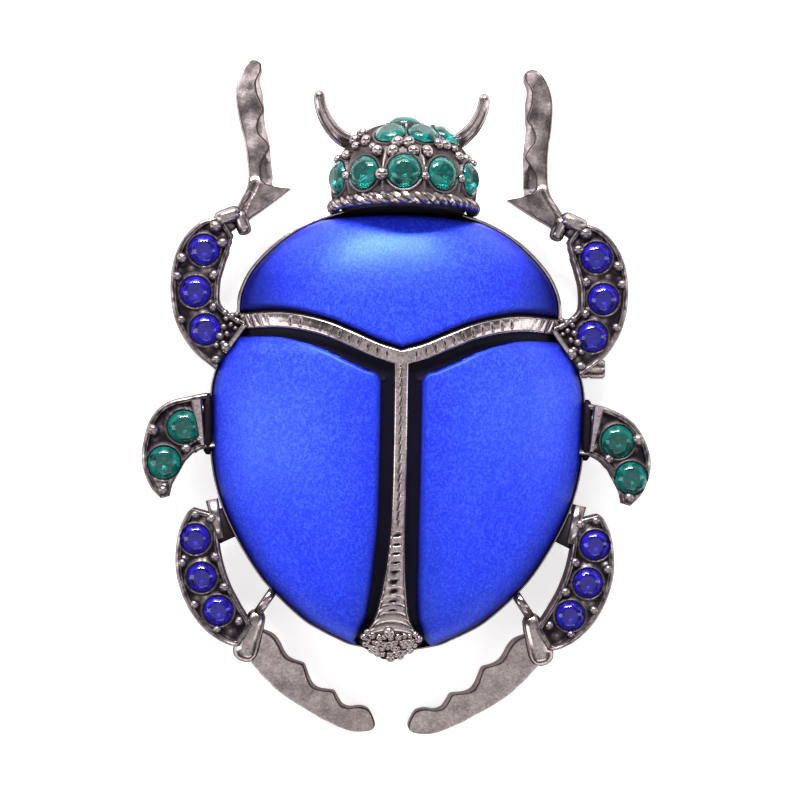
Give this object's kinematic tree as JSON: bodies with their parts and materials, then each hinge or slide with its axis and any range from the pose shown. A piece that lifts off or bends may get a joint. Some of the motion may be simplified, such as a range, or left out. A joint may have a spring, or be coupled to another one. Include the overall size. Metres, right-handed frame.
{
  "type": "insect brooch",
  "caption": "Scarab beetle brooch: cast gunmetal body with serrated legs and horns, satin blue enamel back, green and blue cut stones.",
  "frame": {"origin": "bottom of the part below the centre of its box, on the plane that the pin fitting and the blade tips rest on", "axes": "+Y towards the head, along the longest extent; +Z out of the enamelled face, the shortest extent; +X to the beetle's right as seen from the front"},
  "size_m": [0.0436, 0.0577, 0.0113],
  "materials": {
    "gunmetal": "polished gunmetal plating over a zinc alloy casting, blackened in its recesses",
    "satin_blue_enamel": "satin metallic enamel with fine sparkle",
    "black_enamel": "glossy black enamel",
    "sea_green_glass": "faceted, foil backed",
    "sapphire_glass": "faceted, foil backed"
  },
  "bodies": {
    "root": {"cast_body": "gunmetal", "pin_clasp": "gunmetal", "pronotum_enamel": "satin_blue_enamel", "elytron_left": "satin_blue_enamel", "elytron_right": "satin_blue_enamel", "channel_enamel_left": "black_enamel", "channel_enamel_right": "black_enamel", "head_stone_1": "sea_green_glass", "head_stone_2": "sea_green_glass", "head_stone_3": "sea_green_glass", "head_stone_4": "sea_green_glass", "head_stone_5": "sea_green_glass", "head_stone_6": "sea_green_glass", "head_stone_7": "sea_green_glass", "head_stone_8": "sea_green_glass", "head_stone_9": "sea_green_glass", "front_stone_left_1": "sapphire_glass", "front_stone_left_2": "sapphire_glass", "front_stone_left_3": "sapphire_glass", "front_stone_right_1": "sapphire_glass", "front_stone_right_2": "sapphire_glass", "front_stone_right_3": "sapphire_glass", "mid_stone_left_1": "sea_green_glass", "mid_stone_left_2": "sea_green_glass", "mid_stone_right_1": "sea_green_glass", "mid_stone_right_2": "sea_green_glass", "rear_stone_left_1": "sapphire_glass", "rear_stone_left_2": "sapphire_glass", "rear_stone_left_3": "sapphire_glass", "rear_stone_right_1": "sapphire_glass", "rear_stone_right_2": "sapphire_glass", "rear_stone_right_3": "sapphire_glass"}
  },
  "joints": []
}
